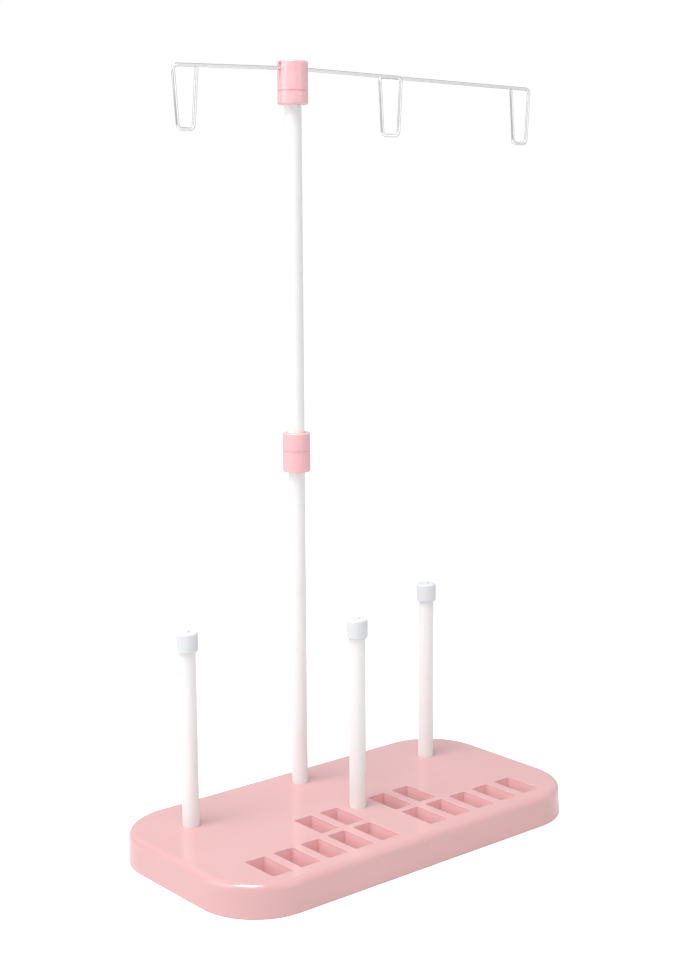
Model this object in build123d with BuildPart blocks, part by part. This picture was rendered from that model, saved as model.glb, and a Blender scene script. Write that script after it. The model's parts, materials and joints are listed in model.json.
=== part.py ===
from build123d import *
import math
import os

# A thread stand. A hollow moulded base holds bobbins on edge in pockets and carries three capped
# spool pins and a mast in two lengths. A bent wire thread guide lies in a slotted holder on top.
# Millimetres, +Z up. The origin is the middle of the base's footprint on the table. +X runs along
# the base, and the bobbin pockets are on its front, -Y side.

# Base moulding
BASE_LENGTH = 238.4
BASE_WIDTH = 124.6
BASE_HEIGHT = 17.4
BASE_CORNER = 34.3
BASE_EDGE = 3.6
BASE_FOOT_EDGE = 0.8
BASE_DRAFT = 1.6
SHELL_WALL = 2.2
DECK = 2.4
INNER_EDGE = 2.0
CEILING_Z = BASE_HEIGHT - DECK

# Ribs under the deck, which run a little way into the walls
RIB = 1.6
RIB_FOOT_Z = 4.0
WALL_REACH = 1.2
SIDE_WALL_X = BASE_LENGTH / 2 - WALL_REACH
BACK_WALL_Y = BASE_WIDTH / 2 - WALL_REACH

# Bobbin pockets: one bobbin on edge in each
POCKET_WIDTH = 11.9
POCKET_LENGTH = 23.1
POCKET_DEPTH = 14.0
POCKET_PITCH = 17.5
POCKET_CORNER = 0.6
POCKET_DRAFT = 0.3
POCKET_LIP = 0.5
POCKET_WALL = 1.5
FRONT_MARGIN = 11.2
ROW_GAP = 4.4
MIDDLE_GAP = 22.1
FRONT_ROW_COLUMNS = 5
BACK_ROW_COLUMNS = 2

# Tubes, which are all one size of extrusion, and the sockets that they push into
TUBE_RADIUS = 4.5
TUBE_BORE = 3.4
TUBE_EDGE = 0.3
FIT_GAP = 0.05
SOCKET_RADIUS = TUBE_RADIUS + FIT_GAP
SOCKET_LEAD_IN = 0.4
BOSS_RADIUS = 7.0
BOSS_FLOOR = 1.6

# The line from front to back that the mast and the pins are set out from
STEM_X = -1.3

# Spool pins
PIN_TUBE_LENGTH = 115.0
PIN_SOCKET_DEPTH = 12.5
SIDE_PIN_REACH = 84.0
SIDE_PIN_Y = 30.0
CENTRE_PIN_Y = -6.6
PINS = {
    "left": (STEM_X - SIDE_PIN_REACH, SIDE_PIN_Y),
    "centre": (STEM_X, CENTRE_PIN_Y),
    "right": (STEM_X + SIDE_PIN_REACH, SIDE_PIN_Y),
}
PIN_FOOT_Z = BASE_HEIGHT - PIN_SOCKET_DEPTH
PIN_TIP_Z = PIN_FOOT_Z + PIN_TUBE_LENGTH

# Caps on the spool pins
CAP_RADIUS = 5.75
CAP_HEIGHT = 10.5
CAP_CROWN = 2.0
CAP_TOP_EDGE = 1.2
CAP_FOOT_EDGE = 0.6
NUB_RADIUS = 1.3
NUB_HEIGHT = 0.8
NUB_EDGE = 0.5
CAP_FOOT_Z = PIN_TIP_Z + CAP_CROWN - CAP_HEIGHT

# Mast: two equal tubes, a coupler between them and the guide holder on top
MAST_Y = 43.7
MAST_TUBE_LENGTH = 200.0
MAST_SOCKET_DEPTH = 14.0
MAST_FOOT_Z = BASE_HEIGHT - MAST_SOCKET_DEPTH
COUPLER_RADIUS = 7.55
COUPLER_HEIGHT = 21.4
COUPLER_LOWER_SOCKET = 8.4
COUPLER_WEB = 1.6
COUPLER_WEB_Z = MAST_FOOT_Z + MAST_TUBE_LENGTH
COUPLER_FOOT_Z = COUPLER_WEB_Z - COUPLER_LOWER_SOCKET
COUPLER_SEAM_HEIGHT = 11.3
UPPER_TUBE_Z = COUPLER_WEB_Z + COUPLER_WEB
HOLDER_RADIUS = 8.1
HOLDER_HEIGHT = 22.2
HOLDER_SOCKET_DEPTH = 14.3
HOLDER_CEILING_Z = UPPER_TUBE_Z + MAST_TUBE_LENGTH
HOLDER_FOOT_Z = HOLDER_CEILING_Z - HOLDER_SOCKET_DEPTH
HOLDER_TOP_Z = HOLDER_FOOT_Z + HOLDER_HEIGHT
HOLDER_SEAM_HEIGHT = 6.6
COLLAR_EDGE = 0.7
SEAM_DEPTH = 0.35
SEAM_HEIGHT = 0.6

# Thread guide: one wire with a slip-in loop at each end and a full turn between them
GUIDE_ANGLE = -2.7
WIRE_RADIUS = 0.9
WIRE_DEPTH = 3.9
WIRE_Z = HOLDER_TOP_Z - WIRE_DEPTH
SLOT_GAP = 0.1
STRAND_STEP = 2 * WIRE_RADIUS + 0.3
ARM_START = 9.5
ARM_DROOP = 1.2
ARM_BEND = 60.0
LOOP_DROP = 31.5
LOOP_BEND = 2.4
TIP_GAP = 0.4
TIP_EDGE = 0.4
LEFT_LOOP = (-73.4, -59.4, 2.4)
MIDDLE_LOOP = (60.3, 73.7, 2.0)
RIGHT_LOOP = (158.6, 173.0, 2.2)

# How far a cutting shape runs past what it cuts, and how near two places count as the same one
CUT_MARGIN = 1.0
SAME_PLACE = 0.01

# The guide's own plane: x along the wire, y across it, z measured from the table
GUIDE_PLANE = Plane(
    origin=(STEM_X, MAST_Y, 0),
    x_dir=(math.cos(math.radians(GUIDE_ANGLE)), math.sin(math.radians(GUIDE_ANGLE)), 0),
    z_dir=(0, 0, 1),
)


def pocket_centres():
    """The middle of each bobbin pocket: a front row, and a back row behind its inner columns."""
    front_y = -BASE_WIDTH / 2 + FRONT_MARGIN + POCKET_LENGTH / 2
    back_y = front_y + POCKET_LENGTH + ROW_GAP
    first_x = MIDDLE_GAP / 2 + POCKET_WIDTH / 2
    centres = []
    for side in (-1, 1):
        for column in range(FRONT_ROW_COLUMNS):
            centres.append((side * (first_x + column * POCKET_PITCH), front_y))
        for column in range(BACK_ROW_COLUMNS):
            centres.append((side * (first_x + column * POCKET_PITCH), back_y))
    return centres


def rib(start, end):
    """A rectangle one rib thick from start to end, in the sketch being built."""
    line = Edge.make_line((*start, 0), (*end, 0))
    middle = line @ 0.5
    turn = math.degrees(math.atan2(end[1] - start[1], end[0] - start[0]))
    with Locations(Location((middle.X, middle.Y, 0), (0, 0, turn))):
        Rectangle(line.length, RIB)


# --- Base ---------------------------------------------------------------------------------------

with BuildPart() as base_shell:
    with BuildSketch():
        RectangleRounded(BASE_LENGTH, BASE_WIDTH, BASE_CORNER)
    extrude(amount=BASE_HEIGHT, taper=BASE_DRAFT)
    fillet(base_shell.faces().sort_by(Axis.Z)[-1].edges(), BASE_EDGE)
    fillet(base_shell.faces().sort_by(Axis.Z)[0].edges(), BASE_FOOT_EDGE)

    # the hollow underneath
    with BuildSketch():
        RectangleRounded(
            BASE_LENGTH - 2 * SHELL_WALL,
            BASE_WIDTH - 2 * SHELL_WALL,
            BASE_CORNER - SHELL_WALL,
        )
    extrude(amount=CEILING_Z, taper=BASE_DRAFT, mode=Mode.SUBTRACT)
    ceiling = base_shell.edges().filter_by_position(Axis.Z, CEILING_Z - SAME_PLACE, CEILING_Z + SAME_PLACE)
    fillet(ceiling, INNER_EDGE)

    # the pockets' own walls and floors
    with BuildSketch(Plane.XY.offset(BASE_HEIGHT - POCKET_DEPTH - POCKET_WALL)):
        with Locations(*pocket_centres()):
            Rectangle(POCKET_WIDTH + 2 * POCKET_WALL, POCKET_LENGTH + 2 * POCKET_WALL)
    extrude(amount=POCKET_DEPTH + POCKET_WALL - DECK / 2)

    # bosses under the spool pins and the mast
    with BuildSketch(Plane.XY.offset(PIN_FOOT_Z - BOSS_FLOOR)):
        with Locations(*PINS.values()):
            Circle(BOSS_RADIUS)
    extrude(amount=PIN_SOCKET_DEPTH + BOSS_FLOOR - DECK / 2)
    with BuildSketch(Plane.XY.offset(MAST_FOOT_Z - BOSS_FLOOR)):
        with Locations((STEM_X, MAST_Y)):
            Circle(BOSS_RADIUS)
    extrude(amount=MAST_SOCKET_DEPTH + BOSS_FLOOR - DECK / 2)

    # ribs that tie the bosses to each other and to the walls
    with BuildSketch(Plane.XY.offset(RIB_FOOT_Z)):
        rib(PINS["left"], PINS["right"])
        rib(PINS["centre"], (STEM_X, BACK_WALL_Y))
        for side in (-1, 1):
            pin_x = STEM_X + side * SIDE_PIN_REACH
            rib((pin_x, SIDE_PIN_Y), (side * SIDE_WALL_X, SIDE_PIN_Y))
            rib((pin_x, SIDE_PIN_Y), (pin_x, BACK_WALL_Y))
            rib((STEM_X, MAST_Y), (STEM_X + side * (BACK_WALL_Y - MAST_Y), BACK_WALL_Y))
            rib((STEM_X, MAST_Y), (STEM_X + side * (MAST_Y - SIDE_PIN_Y), SIDE_PIN_Y))
    extrude(amount=CEILING_Z + DECK / 2 - RIB_FOOT_Z)

    # the pockets themselves, then the round sockets
    with BuildSketch(Plane.XY.offset(BASE_HEIGHT)):
        with Locations(*pocket_centres()):
            RectangleRounded(POCKET_WIDTH, POCKET_LENGTH, POCKET_CORNER)
    extrude(amount=-POCKET_DEPTH, taper=POCKET_DRAFT, mode=Mode.SUBTRACT)
    with BuildSketch(Plane.XY.offset(PIN_FOOT_Z)):
        with Locations(*PINS.values()):
            Circle(SOCKET_RADIUS)
    extrude(amount=PIN_SOCKET_DEPTH, mode=Mode.SUBTRACT)
    with BuildSketch(Plane.XY.offset(MAST_FOOT_Z)):
        with Locations((STEM_X, MAST_Y)):
            Circle(SOCKET_RADIUS)
    extrude(amount=MAST_SOCKET_DEPTH, mode=Mode.SUBTRACT)

    # rounded lips round the pockets and lead-ins round the sockets
    deck_openings = base_shell.faces().sort_by(Axis.Z)[-1].inner_wires()
    fillet([e for w in deck_openings for e in w.edges() if len(w.edges()) > 1], POCKET_LIP)
    deck_sockets = base_shell.faces().filter_by(Axis.Z).sort_by(Axis.Z)[-1].inner_wires()
    fillet([e for w in deck_sockets for e in w.edges() if len(w.edges()) == 1], SOCKET_LEAD_IN)

# --- Tubes --------------------------------------------------------------------------------------


def build_tube(x, y, z, length):
    """A plain round tube that stands on z, with its four end edges broken."""
    with BuildPart() as tube:
        with BuildSketch(Plane.XY.offset(z)):
            with Locations((x, y)):
                Circle(TUBE_RADIUS)
                Circle(TUBE_BORE, mode=Mode.SUBTRACT)
        extrude(amount=length)
        chamfer(tube.edges().filter_by(GeomType.CIRCLE), TUBE_EDGE)
    return tube


lower_mast_tube = build_tube(STEM_X, MAST_Y, MAST_FOOT_Z, MAST_TUBE_LENGTH)
upper_mast_tube = build_tube(STEM_X, MAST_Y, UPPER_TUBE_Z, MAST_TUBE_LENGTH)
spool_pins = {side: build_tube(x, y, PIN_FOOT_Z, PIN_TUBE_LENGTH) for side, (x, y) in PINS.items()}

# --- Coupler ------------------------------------------------------------------------------------

with BuildPart() as mast_coupler:
    with BuildSketch(Plane.XY.offset(COUPLER_FOOT_Z)):
        with Locations((STEM_X, MAST_Y)):
            Circle(COUPLER_RADIUS)
    extrude(amount=COUPLER_HEIGHT)
    fillet(mast_coupler.edges().filter_by(GeomType.CIRCLE), COLLAR_EDGE)

    # a socket from each end, down to the web that the tubes meet
    with BuildSketch(Plane.XY.offset(COUPLER_FOOT_Z)):
        with Locations((STEM_X, MAST_Y)):
            Circle(SOCKET_RADIUS)
    extrude(amount=COUPLER_LOWER_SOCKET, mode=Mode.SUBTRACT)
    with BuildSketch(Plane.XY.offset(UPPER_TUBE_Z)):
        with Locations((STEM_X, MAST_Y)):
            Circle(SOCKET_RADIUS)
    extrude(amount=COUPLER_FOOT_Z + COUPLER_HEIGHT - UPPER_TUBE_Z, mode=Mode.SUBTRACT)

    # the fine seam round its middle
    with BuildSketch(Plane.XY.offset(COUPLER_FOOT_Z + COUPLER_SEAM_HEIGHT)):
        with Locations((STEM_X, MAST_Y)):
            Circle(COUPLER_RADIUS + CUT_MARGIN)
            Circle(COUPLER_RADIUS - SEAM_DEPTH, mode=Mode.SUBTRACT)
    extrude(amount=SEAM_HEIGHT, mode=Mode.SUBTRACT)

# --- Guide holder -------------------------------------------------------------------------------

with BuildPart() as guide_holder:
    with BuildSketch(Plane.XY.offset(HOLDER_FOOT_Z)):
        with Locations((STEM_X, MAST_Y)):
            Circle(HOLDER_RADIUS)
    extrude(amount=HOLDER_HEIGHT)
    fillet(guide_holder.edges().filter_by(GeomType.CIRCLE), COLLAR_EDGE)
    with BuildSketch(Plane.XY.offset(HOLDER_FOOT_Z)):
        with Locations((STEM_X, MAST_Y)):
            Circle(SOCKET_RADIUS)
    extrude(amount=HOLDER_SOCKET_DEPTH, mode=Mode.SUBTRACT)

    # the fine seam low on the holder
    with BuildSketch(Plane.XY.offset(HOLDER_FOOT_Z + HOLDER_SEAM_HEIGHT)):
        with Locations((STEM_X, MAST_Y)):
            Circle(HOLDER_RADIUS + CUT_MARGIN)
            Circle(HOLDER_RADIUS - SEAM_DEPTH, mode=Mode.SUBTRACT)
    extrude(amount=SEAM_HEIGHT, mode=Mode.SUBTRACT)

    # the slot across its top, round at the bottom, that the wire lies in
    slot_plane = Plane(
        origin=GUIDE_PLANE.from_local_coords((0, 0, WIRE_Z)),
        x_dir=GUIDE_PLANE.y_dir,
        z_dir=GUIDE_PLANE.x_dir,
    )
    with BuildSketch(slot_plane):
        Circle(WIRE_RADIUS + SLOT_GAP)
        with Locations((0, WIRE_DEPTH)):
            Rectangle(2 * (WIRE_RADIUS + SLOT_GAP), 2 * WIRE_DEPTH)
    extrude(amount=HOLDER_RADIUS + CUT_MARGIN, both=True, mode=Mode.SUBTRACT)

# --- Wire ---------------------------------------------------------------------------------------


def bar_z(along):
    """The height of the guide's bar at a distance along it from the mast: each arm droops a little."""
    return WIRE_Z - max(0, abs(along) - ARM_START) * math.tan(math.radians(ARM_DROOP))


def loop_corners(left, right, lean, strand_left, strand_right):
    """A hanging loop's four corners: top left, bottom left, bottom right, top right."""
    foot = bar_z((left + right) / 2) - LOOP_DROP
    return (
        (left, strand_left, bar_z(left)),
        (left + lean, strand_left, foot),
        (right - lean, strand_right, foot),
        (right, strand_right, bar_z(right)),
    )


def below_bar(corner):
    """The free tip of a leg whose corner would be on the bar: just under it."""
    along, strand, height = corner
    return (along, strand, height - WIRE_RADIUS - TIP_GAP)


left_loop = loop_corners(*LEFT_LOOP, 0, 0)
middle_loop = loop_corners(*MIDDLE_LOOP, STRAND_STEP, 0)
right_loop = loop_corners(*RIGHT_LOOP, STRAND_STEP, STRAND_STEP)
wire_route = [
    below_bar(left_loop[3]),
    left_loop[2],
    left_loop[1],
    left_loop[0],
    (-ARM_START, 0, WIRE_Z),
    (ARM_START, 0, WIRE_Z),
    middle_loop[3],
    middle_loop[2],
    middle_loop[1],
    middle_loop[0],
    right_loop[3],
    right_loop[2],
    right_loop[1],
    below_bar(right_loop[0]),
]
wire_bends = [LOOP_BEND] * 3 + [ARM_BEND] * 2 + [LOOP_BEND] * 7

with BuildPart() as thread_guide_wire:
    with BuildLine(GUIDE_PLANE) as wire_path:
        FilletPolyline(*wire_route, radius=wire_bends)
    wire_start = wire_path.wire()
    with BuildSketch(Plane(origin=wire_start @ 0, z_dir=wire_start % 0)):
        Circle(WIRE_RADIUS)
    sweep()
    wire_tips = [
        edge
        for edge in thread_guide_wire.edges().filter_by(GeomType.CIRCLE)
        if min((edge.arc_center - tip).length for tip in (wire_start @ 0, wire_start @ 1)) < SAME_PLACE
    ]
    fillet(wire_tips, TIP_EDGE)

# --- Caps ---------------------------------------------------------------------------------------


def build_cap(x, y):
    """A blind cap that slips over a spool pin's tip, with a small moulding nub on its crown."""
    with BuildPart() as cap:
        with BuildSketch(Plane.XY.offset(CAP_FOOT_Z)):
            with Locations((x, y)):
                Circle(CAP_RADIUS)
        extrude(amount=CAP_HEIGHT)
        fillet(cap.edges().group_by(Axis.Z)[-1], CAP_TOP_EDGE)
        chamfer(cap.edges().group_by(Axis.Z)[0], CAP_FOOT_EDGE)
        with BuildSketch(Plane.XY.offset(CAP_FOOT_Z + CAP_HEIGHT)):
            with Locations((x, y)):
                Circle(NUB_RADIUS)
        extrude(amount=NUB_HEIGHT)
        fillet(cap.edges().group_by(Axis.Z)[-1], NUB_EDGE)
        with BuildSketch(Plane.XY.offset(CAP_FOOT_Z)):
            with Locations((x, y)):
                Circle(SOCKET_RADIUS)
        extrude(amount=CAP_HEIGHT - CAP_CROWN, mode=Mode.SUBTRACT)
    return cap


pin_caps = {side: build_cap(x, y) for side, (x, y) in PINS.items()}

# --- Export -------------------------------------------------------------------------------------

pieces = {
    "base_shell": base_shell,
    "lower_mast_tube": lower_mast_tube,
    "mast_coupler": mast_coupler,
    "upper_mast_tube": upper_mast_tube,
    "guide_holder": guide_holder,
    "thread_guide_wire": thread_guide_wire,
}
for side in PINS:
    pieces[f"spool_pin_{side}"] = spool_pins[side]
    pieces[f"pin_cap_{side}"] = pin_caps[side]

os.makedirs("parts", exist_ok=True)
for name, piece in pieces.items():
    piece.part.label = name
    export_step(piece.part, f"parts/{name}.step")

wire_volume = math.pi * WIRE_RADIUS**2 * wire_start.length
print(f"wire length {wire_start.length:.1f} mm")
print(f"wire volume {thread_guide_wire.part.volume:.1f}, section times length {wire_volume:.1f} mm3")
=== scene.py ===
import json
import math

import bpy
from mathutils import Euler, Matrix, Vector


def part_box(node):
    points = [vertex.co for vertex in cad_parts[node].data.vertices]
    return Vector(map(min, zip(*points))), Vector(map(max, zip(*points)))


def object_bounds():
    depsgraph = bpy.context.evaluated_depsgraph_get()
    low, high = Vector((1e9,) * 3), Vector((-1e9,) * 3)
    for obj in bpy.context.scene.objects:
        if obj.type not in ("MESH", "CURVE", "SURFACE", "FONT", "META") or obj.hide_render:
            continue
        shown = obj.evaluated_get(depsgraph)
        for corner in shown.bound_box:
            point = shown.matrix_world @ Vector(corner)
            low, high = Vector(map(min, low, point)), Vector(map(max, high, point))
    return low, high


# The looks of the thread stand: a pale pink moulded base and collars, milky white tubes with cool
# white caps, and a bright plated wire, on a white studio floor. Metres, in the frame of the CAD.

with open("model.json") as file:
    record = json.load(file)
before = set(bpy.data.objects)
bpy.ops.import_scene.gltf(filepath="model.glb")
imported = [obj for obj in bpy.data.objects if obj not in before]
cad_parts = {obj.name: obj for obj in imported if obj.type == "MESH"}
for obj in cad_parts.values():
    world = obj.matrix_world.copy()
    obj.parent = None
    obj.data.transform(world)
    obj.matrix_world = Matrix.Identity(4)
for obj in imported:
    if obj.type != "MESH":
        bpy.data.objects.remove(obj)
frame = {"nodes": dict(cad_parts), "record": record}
cad_low, cad_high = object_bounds()
nodes = frame["nodes"]

MM = 0.001

# Camera: where it stands, which way it looks (turned from +Y towards +X, down, and rolled a hair
# about its own line of sight) and its lens
CAMERA_PLACE = Vector((-0.5392, -0.6381, 0.3341))
CAMERA_TURN = math.radians(40.10)
CAMERA_DOWN = math.radians(9.43)
CAMERA_ROLL = math.radians(-0.31)
CAMERA_SENSOR = 36.0
CAMERA_LENS = 60.27

# The range that most of a noise texture's heights lie in
NOISE_LOW = 0.3
NOISE_HIGH = 0.7

# --- Nodes of a material -------------------------------------------------------------------------


def new_material(name, color, roughness, **sockets):
    """A material with one Principled shader, its steady values set on the shader's own sockets."""
    material = bpy.data.materials.new(name)
    material.use_nodes = True
    shader = material.node_tree.nodes["Principled BSDF"]
    shader.inputs["Base Color"].default_value = (*color, 1)
    shader.inputs["Roughness"].default_value = roughness
    for socket, value in sockets.items():
        shader.inputs[socket.replace("_", " ")].default_value = value
    return material, material.node_tree, shader


def object_coordinates(tree, scale):
    """The object's own coordinates, stretched by scale."""
    source = tree.nodes.new("ShaderNodeTexCoord")
    mapping = tree.nodes.new("ShaderNodeMapping")
    mapping.inputs["Scale"].default_value = scale
    tree.links.new(source.outputs["Object"], mapping.inputs["Vector"])
    return mapping.outputs["Vector"]


def noise(tree, vector, scale, detail=3.0, roughness=0.5):
    """A noise texture's height at scale, over the given coordinates."""
    node = tree.nodes.new("ShaderNodeTexNoise")
    node.inputs["Scale"].default_value = scale
    node.inputs["Detail"].default_value = detail
    node.inputs["Roughness"].default_value = roughness
    tree.links.new(vector, node.inputs["Vector"])
    return node.outputs["Fac"]


def spread(tree, value, low, high, start=NOISE_LOW, stop=NOISE_HIGH):
    """value, moved from the range start to stop into the range low to high."""
    node = tree.nodes.new("ShaderNodeMapRange")
    node.inputs["From Min"].default_value = start
    node.inputs["From Max"].default_value = stop
    node.inputs["To Min"].default_value = low
    node.inputs["To Max"].default_value = high
    tree.links.new(value, node.inputs["Value"])
    return node.outputs["Result"]


def product(tree, values):
    """All of the values, multiplied together."""
    share = values[0]
    for value in values[1:]:
        node = tree.nodes.new("ShaderNodeMath")
        node.operation = "MULTIPLY"
        tree.links.new(share, node.inputs[0])
        tree.links.new(value, node.inputs[1])
        share = node.outputs["Value"]
    return share


def tint(tree, value, color_a, color_b):
    """The colour between color_a and color_b that value says."""
    node = tree.nodes.new("ShaderNodeMix")
    node.data_type = "RGBA"
    node.inputs["A"].default_value = (*color_a, 1)
    node.inputs["B"].default_value = (*color_b, 1)
    tree.links.new(value, node.inputs["Factor"])
    return node.outputs["Result"]


def two_tone(tree, shader, clouds, colors):
    """Lets the base colour drift between the two colors, as clouds says."""
    tree.links.new(tint(tree, spread(tree, clouds, 0, 1), *colors), shader.inputs["Base Color"])


def polish(tree, shader, clouds, low, high):
    """Lets the roughness drift between low and high, as clouds says."""
    tree.links.new(spread(tree, clouds, low, high), shader.inputs["Roughness"])


def bump(tree, shader, height, strength, depth):
    """Bumps the surface by height, to depth in metres."""
    node = tree.nodes.new("ShaderNodeBump")
    node.inputs["Strength"].default_value = strength
    node.inputs["Distance"].default_value = depth
    tree.links.new(height, node.inputs["Height"])
    tree.links.new(node.outputs["Normal"], shader.inputs["Normal"])


# --- Materials -----------------------------------------------------------------------------------

# Each plastic's or metal's two close colours, which it drifts between
BASE_PINKS = ((0.735, 0.42, 0.425), (0.725, 0.405, 0.41))
FITTING_PINKS = ((0.92, 0.52, 0.55), (0.91, 0.505, 0.535))
MILKY_WHITES = ((0.94, 0.94, 0.93), (0.92, 0.92, 0.905))
COOL_WHITES = ((0.77, 0.795, 0.825), (0.74, 0.77, 0.80))
PLATING = ((0.85, 0.85, 0.86), (0.76, 0.76, 0.76))

# The pockets' painted light, a lighter colour painted on their walls for light that falls in and
# passes through the thin plastic: its colour, where down a wall it is strongest, where it has
# faded and to what share, and how far outside the pockets it stops
POCKET_PAINTED_LIGHT = (1.0, 0.66, 0.68)
POCKET_PAINTED_LIGHT_START = 1.2 * MM
POCKET_PAINTED_LIGHT_DEPTH = 12 * MM
POCKET_PAINTED_LIGHT_LEFT = 0.4
POCKET_PAINTED_LIGHT_EDGE = 4 * MM


def moulded_pink(name, colors, roughness):
    """Pale pink moulded plastic: faint flow in its colour, an uneven polish, fine orange peel."""
    material, tree, shader = new_material(
        name,
        colors[0],
        roughness,
        Subsurface_Weight=0.15,
        Subsurface_Radius=(1.0, 0.35, 0.38),
        Subsurface_Scale=2 * MM,
        Specular_IOR_Level=1.0,
    )
    plain = object_coordinates(tree, (1, 1, 1))
    stretched = object_coordinates(tree, (1, 2.5, 1))
    two_tone(tree, shader, noise(tree, stretched, scale=14, detail=2), colors)
    patches = noise(tree, plain, scale=30, detail=3, roughness=0.6)
    polish(tree, shader, patches, roughness - 0.02, roughness + 0.04)
    bump(tree, shader, noise(tree, plain, scale=700, detail=2), strength=0.04, depth=0.004 * MM)
    return material


def paint_light_in_pockets(material):
    """Paints light onto the bobbin pockets' walls: a lighter colour, most of all just under their
    rims.

    This painted light stands in for light that the real thin walls pass on from the deck round
    them."""
    tree = material.node_tree
    color = tree.nodes["Principled BSDF"].inputs["Base Color"]
    openings = frame["record"]["physics"]["openings"]
    pockets = [opening["box_m"] for opening in openings if "pocket" in opening["name"]]
    place = tree.nodes.new("ShaderNodeSeparateXYZ")
    tree.links.new(object_coordinates(tree, (1, 1, 1)), place.inputs["Vector"])
    height = place.outputs["Z"]
    rim_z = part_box("base_shell")[1].z
    start_z = rim_z - POCKET_PAINTED_LIGHT_START
    masks = [
        spread(tree, height, 0, 1, rim_z, start_z),
        spread(tree, height, 1, POCKET_PAINTED_LIGHT_LEFT, start_z, rim_z - POCKET_PAINTED_LIGHT_DEPTH),
    ]
    for axis, name in enumerate("XY"):
        low = min(box[0][axis] for box in pockets) - POCKET_PAINTED_LIGHT_EDGE
        high = max(box[1][axis] for box in pockets) + POCKET_PAINTED_LIGHT_EDGE
        masks.append(spread(tree, place.outputs[name], 0, 1, low, low + POCKET_PAINTED_LIGHT_EDGE / 2))
        masks.append(spread(tree, place.outputs[name], 0, 1, high, high - POCKET_PAINTED_LIGHT_EDGE / 2))
    # The painted light, mixed over the plastic's own colour
    lighter = tree.nodes.new("ShaderNodeMix")
    lighter.data_type = "RGBA"
    lighter.inputs["B"].default_value = (*POCKET_PAINTED_LIGHT, 1)
    tree.links.new(product(tree, masks), lighter.inputs["Factor"])
    tree.links.new(color.links[0].from_socket, lighter.inputs["A"])
    tree.links.new(lighter.outputs["Result"], color)


def extruded_white():
    """Milky extruded tube: satin, with long faint die lines and a little light carried inside."""
    material, tree, shader = new_material(
        "milky_tube",
        MILKY_WHITES[0],
        0.3,
        Subsurface_Weight=0.25,
        Subsurface_Radius=(1.0, 0.95, 0.9),
        Subsurface_Scale=2 * MM,
    )
    lines = noise(tree, object_coordinates(tree, (1, 1, 0.012)), scale=1400, detail=3)
    clouds = noise(tree, object_coordinates(tree, (1, 1, 0.3)), scale=60, detail=2)
    two_tone(tree, shader, clouds, MILKY_WHITES)
    polish(tree, shader, lines, 0.26, 0.36)
    bump(tree, shader, lines, strength=0.2, depth=0.01 * MM)
    return material


def moulded_white():
    """The caps' cool white plastic, a shade darker than the tubes."""
    material, tree, shader = new_material(
        "cool_white_cap",
        COOL_WHITES[0],
        0.32,
        Subsurface_Weight=0.15,
        Subsurface_Radius=(0.9, 0.95, 1.0),
        Subsurface_Scale=1.5 * MM,
    )
    plain = object_coordinates(tree, (1, 1, 1))
    clouds = noise(tree, plain, scale=120, detail=2)
    two_tone(tree, shader, clouds, COOL_WHITES)
    polish(tree, shader, clouds, 0.28, 0.38)
    bump(tree, shader, noise(tree, plain, scale=900, detail=2), strength=0.08, depth=0.006 * MM)
    return material


def plated_wire():
    """Bright plated spring wire: fine drawing marks, cloudy plating and a darker outline."""
    material, tree, shader = new_material(
        "plated_wire",
        PLATING[0],
        0.1,
        Metallic=1.0,
        Specular_Tint=(0.12, 0.12, 0.12, 1),
    )
    plain = object_coordinates(tree, (1, 1, 1))
    clouds = noise(tree, plain, scale=240, detail=4, roughness=0.6)
    two_tone(tree, shader, clouds, PLATING)
    polish(tree, shader, clouds, 0.06, 0.16)
    bump(tree, shader, noise(tree, plain, scale=2600, detail=2), strength=0.15, depth=0.006 * MM)
    return material


base_pink = moulded_pink("base_pink", BASE_PINKS, 0.1)
# Painted light: the base's pocket walls are painted lighter, for light that falls in and shines
# through
paint_light_in_pockets(base_pink)
# The material for each of the record's slots, which goes on every CAD node of that slot
FINISH = {
    "base_pink": base_pink,
    "fitting_pink": moulded_pink("fitting_pink", FITTING_PINKS, 0.16),
    "tube_white": extruded_white(),
    "cap_white": moulded_white(),
    "plated_wire": plated_wire(),
}
for part in frame["record"]["subparts"]:
    materials = nodes[part["node"]].data.materials
    materials.clear()
    materials.append(FINISH[part["material_slot"]])

# --- Studio --------------------------------------------------------------------------------------

# The floor: its width, how far it lies below the base, its colour, and the light that it adds to
# its own where the camera and where a reflection sees it
FLOOR_SIZE = 60.0
FLOOR_DROP = 0.05 * MM
FLOOR_COLOR = (0.85, 0.85, 0.85)
FLOOR_ROUGHNESS = 0.8
FLOOR_SHOWN = 0.6
FLOOR_MIRRORED = 0.15

# The surround: how brightly it lights, how brightly reflections see it behind and in front of the
# object, and how brightly it shows. FRONT points to the front, and FRONT_FULL is how far a
# direction leans that way once the surround is at its brightest.
WORLD_LIGHT = 0.5
WORLD_MIRRORED_BACK = 0.66
WORLD_MIRRORED_FRONT = 1.0
WORLD_SHOWN = 1.0
FRONT = (0.3, -0.95, 0)
FRONT_FULL = 0.7


def by_ray(tree, kind, otherwise, value):
    """value for rays of the kind named, else otherwise, a number or another node's output."""
    path = tree.nodes.new("ShaderNodeLightPath")
    choice = tree.nodes.new("ShaderNodeMix")
    choice.inputs["B"].default_value = value
    tree.links.new(path.outputs[kind], choice.inputs["Factor"])
    if isinstance(otherwise, float):
        choice.inputs["A"].default_value = otherwise
    else:
        tree.links.new(otherwise, choice.inputs["A"])
    return choice.outputs["Result"]


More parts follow.
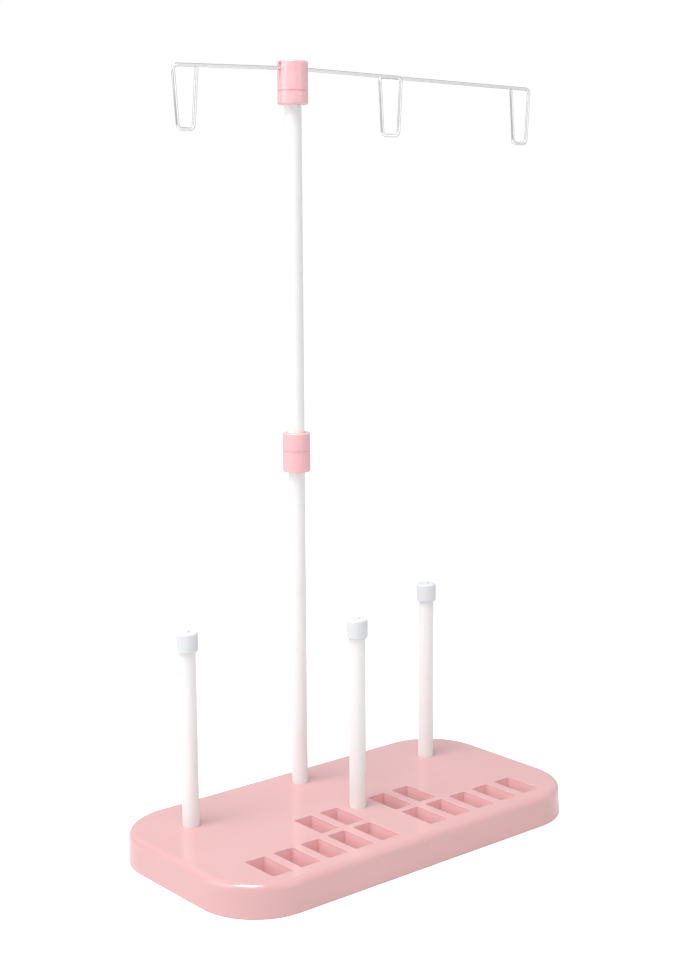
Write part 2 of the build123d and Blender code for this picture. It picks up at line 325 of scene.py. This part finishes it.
def white_floor():
    """A wide plain floor, just under the base, that shows a little brighter than it lights."""
    half = FLOOR_SIZE / 2
    mesh = bpy.data.meshes.new("floor")
    corners = [(-half, -half), (half, -half), (half, half), (-half, half)]
    mesh.from_pydata([(x, y, cad_low.z - FLOOR_DROP) for x, y in corners], [], [(0, 1, 2, 3)])
    floor = bpy.data.objects.new("floor", mesh)
    bpy.context.scene.collection.objects.link(floor)
    material, tree, shader = new_material(
        "floor",
        FLOOR_COLOR,
        FLOOR_ROUGHNESS,
        Specular_IOR_Level=0.0,
        Emission_Color=(1, 1, 1, 1),
    )
    mirrored = by_ray(tree, "Is Glossy Ray", 0.0, FLOOR_MIRRORED)
    shown = by_ray(tree, "Is Camera Ray", mirrored, FLOOR_SHOWN)
    tree.links.new(shown, shader.inputs["Emission Strength"])
    mesh.materials.append(material)


def area_light(name, place, target, width, height, power):
    """A softbox at place that faces target."""
    data = bpy.data.lights.new(name, "AREA")
    data.shape = "RECTANGLE"
    data.size = width
    data.size_y = height
    data.energy = power
    light = bpy.data.objects.new(name, data)
    light.location = place
    light.rotation_euler = (Vector(target) - Vector(place)).to_track_quat("-Z", "Y").to_euler()
    bpy.context.scene.collection.objects.link(light)


def studio_world():
    """A white surround that shows brighter than it lights, and mirrors brightest at the front."""
    world = bpy.data.worlds.new("studio")
    world.use_nodes = True
    tree = world.node_tree
    background = tree.nodes["Background"]
    background.inputs["Color"].default_value = (1, 1, 1, 1)
    direction = tree.nodes.new("ShaderNodeTexCoord")
    frontness = tree.nodes.new("ShaderNodeVectorMath")
    frontness.operation = "DOT_PRODUCT"
    frontness.inputs[1].default_value = FRONT
    tree.links.new(direction.outputs["Generated"], frontness.inputs[0])
    mirrored = spread(
        tree,
        frontness.outputs["Value"],
        WORLD_MIRRORED_BACK,
        WORLD_MIRRORED_FRONT,
        start=0,
        stop=FRONT_FULL,
    )
    lit = by_ray(tree, "Is Diffuse Ray", mirrored, WORLD_LIGHT)
    strength = by_ray(tree, "Is Camera Ray", lit, WORLD_SHOWN)
    tree.links.new(strength, background.inputs["Strength"])
    bpy.context.scene.world = world


def photo_camera():
    """The camera, at its place and turned down and round to the object."""
    data = bpy.data.cameras.new("camera")
    data.sensor_width = CAMERA_SENSOR
    data.lens = CAMERA_LENS
    camera = bpy.data.objects.new("camera", data)
    camera.location = CAMERA_PLACE
    aim = Euler((math.pi / 2 - CAMERA_DOWN, 0, -CAMERA_TURN)).to_matrix()
    camera.rotation_euler = (aim @ Matrix.Rotation(CAMERA_ROLL, 3, "Z")).to_euler()
    bpy.context.scene.collection.objects.link(camera)
    bpy.context.scene.camera = camera


white_floor()
studio_world()
photo_camera()
area_light("key", (-1.25, 0.35, 0.9), target=(0, 0, 0.15), width=1.1, height=1.3, power=6)
area_light("fill", (0.5, -1.5, 0.8), target=(0, 0, 0.15), width=0.5, height=1.0, power=1.5)
area_light("top", (-0.5, -0.1, 1.5), target=(0, 0, 0), width=0.7, height=0.7, power=16.5)
bpy.context.scene.view_settings.view_transform = "Standard"
